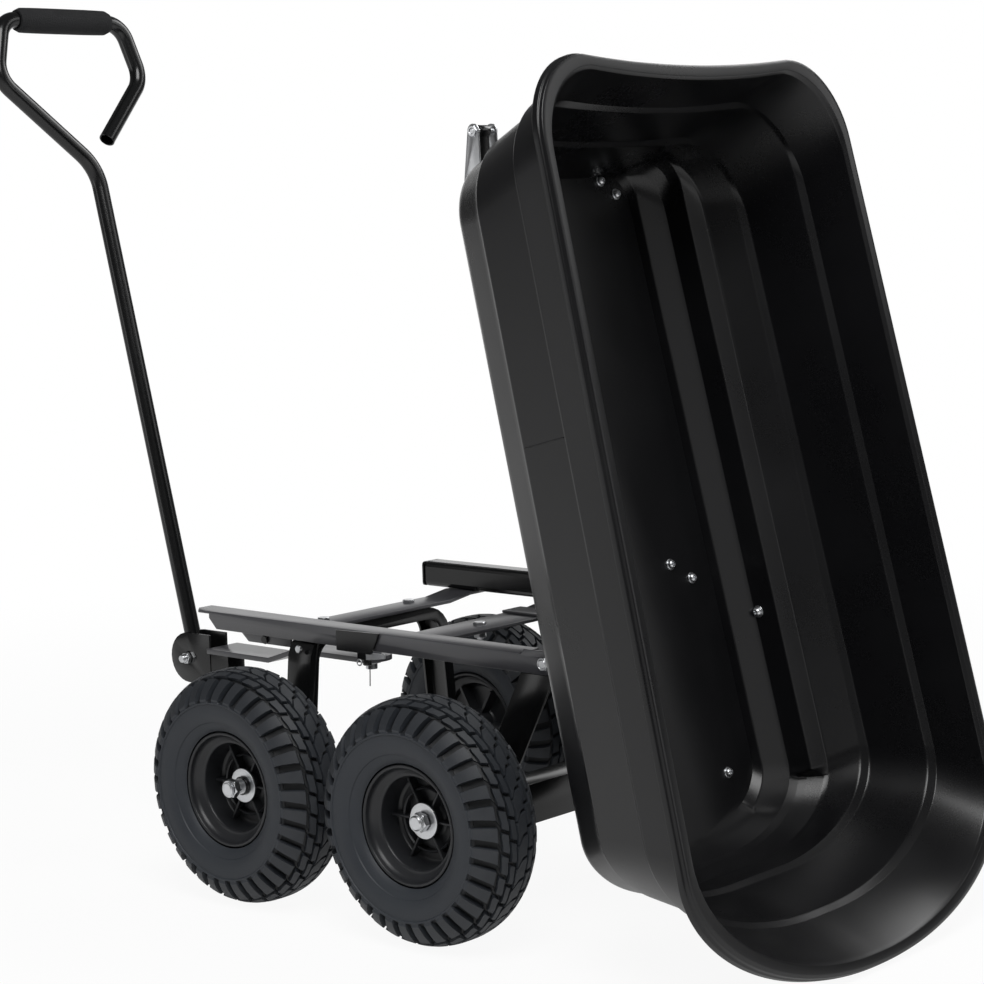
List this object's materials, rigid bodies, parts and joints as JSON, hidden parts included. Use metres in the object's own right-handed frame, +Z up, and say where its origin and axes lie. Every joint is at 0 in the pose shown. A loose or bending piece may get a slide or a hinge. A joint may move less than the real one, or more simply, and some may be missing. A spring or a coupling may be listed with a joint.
{
  "type": "garden dump cart",
  "caption": "Four-wheeled garden cart with a deep moulded bin that tips backwards on a steel frame, a steering tongue and a bent pull handle with a foam grip.",
  "frame": {"origin": "the middle of the cart's bounding box, on the floor", "axes": "+X forward towards the handle, +Y to the cart's left, +Z up from the floor"},
  "size_m": [1.2062, 0.5446, 1.0112],
  "materials": {
    "tyre": "matte black rubber, clean",
    "rim_plastic": "satin black moulded plastic",
    "bin_plastic": "black moulded plastic with a soft sheen",
    "grip_foam": "matte black closed-cell foam",
    "black_paint": "glossy black powder coat",
    "zinc_plate": "bright zinc plate"
  },
  "bodies": {
    "chassis": {"side_rail_near": "black_paint", "side_rail_far": "black_paint", "front_cross_strap": "black_paint", "rear_cross_strap": "black_paint", "support_beam": "black_paint", "rail_doubler": "black_paint", "front_axle_arch": "black_paint", "front_axle_near": "black_paint", "front_axle_far": "black_paint", "rear_leg_near": "black_paint", "rear_leg_far": "black_paint", "rear_axle_beam": "black_paint", "rear_axle_rod": "black_paint", "washer_front_near": "zinc_plate", "washer_front_far": "zinc_plate", "washer_rear_near": "zinc_plate", "washer_rear_far": "zinc_plate", "nut_front_near": "zinc_plate", "nut_front_far": "zinc_plate", "nut_rear_near": "zinc_plate", "nut_rear_far": "zinc_plate", "king_pin": "zinc_plate", "bed_pin_near": "zinc_plate", "bed_pin_far": "zinc_plate"},
    "tongue": {"tongue_bar": "black_paint", "handle_clevis": "black_paint", "handle_pin": "zinc_plate"},
    "handle": {"handle_tube": "black_paint", "handle_grip": "grip_foam"},
    "bed": {"bin_tray": "bin_plastic", "bed_rail_near": "black_paint", "bed_rail_far": "black_paint", "bed_cross_front": "black_paint", "bed_cross_middle": "black_paint", "bed_ear_near": "black_paint", "bed_ear_far": "black_paint", "latch_bracket": "zinc_plate", "latch_pin": "zinc_plate"},
    "latch": {"latch_lever": "black_paint"},
    "wheel_front_near": {"tyre_front_near": "tyre", "rim_front_near": "rim_plastic"},
    "wheel_front_far": {"tyre_front_far": "tyre", "rim_front_far": "rim_plastic"},
    "wheel_rear_near": {"tyre_rear_near": "tyre", "rim_rear_near": "rim_plastic"},
    "wheel_rear_far": {"tyre_rear_far": "tyre", "rim_rear_far": "rim_plastic"}
  },
  "joints": [
    {"name": "tongue_steer", "type": "hinge", "parent": "chassis", "child": "tongue", "pos_m": [0.09116, 0, 0.241], "axis": [0, 0, 1], "range_deg": [-45, 45]},
    {"name": "handle_tilt", "type": "hinge", "parent": "tongue", "child": "handle", "pos_m": [0.39316, 0, 0.211], "axis": [0, 1, 0], "range_deg": [-5, 85]},
    {"name": "bed_tilt", "type": "hinge", "parent": "chassis", "child": "bed", "pos_m": [-0.26784, 0, 0.288], "axis": [0, 1, 0], "range_deg": [0, 76.4]},
    {"name": "latch_swing", "type": "hinge", "parent": "bed", "child": "latch", "pos_m": [-0.17716, 0.081, 0.83296], "axis": [0, 1, 0], "range_deg": [-101.4, 0]},
    {"name": "wheel_front_near_spin", "type": "hinge", "parent": "chassis", "child": "wheel_front_near", "pos_m": [0.09116, 0.2, 0.13], "axis": [0, 1, 0], "continuous": true},
    {"name": "wheel_front_far_spin", "type": "hinge", "parent": "chassis", "child": "wheel_front_far", "pos_m": [0.09116, -0.2, 0.13], "axis": [0, 1, 0], "continuous": true},
    {"name": "wheel_rear_near_spin", "type": "hinge", "parent": "chassis", "child": "wheel_rear_near", "pos_m": [-0.18084, 0.2, 0.13], "axis": [0, 1, 0], "continuous": true},
    {"name": "wheel_rear_far_spin", "type": "hinge", "parent": "chassis", "child": "wheel_rear_far", "pos_m": [-0.18084, -0.2, 0.13], "axis": [0, 1, 0], "continuous": true}
  ]
}
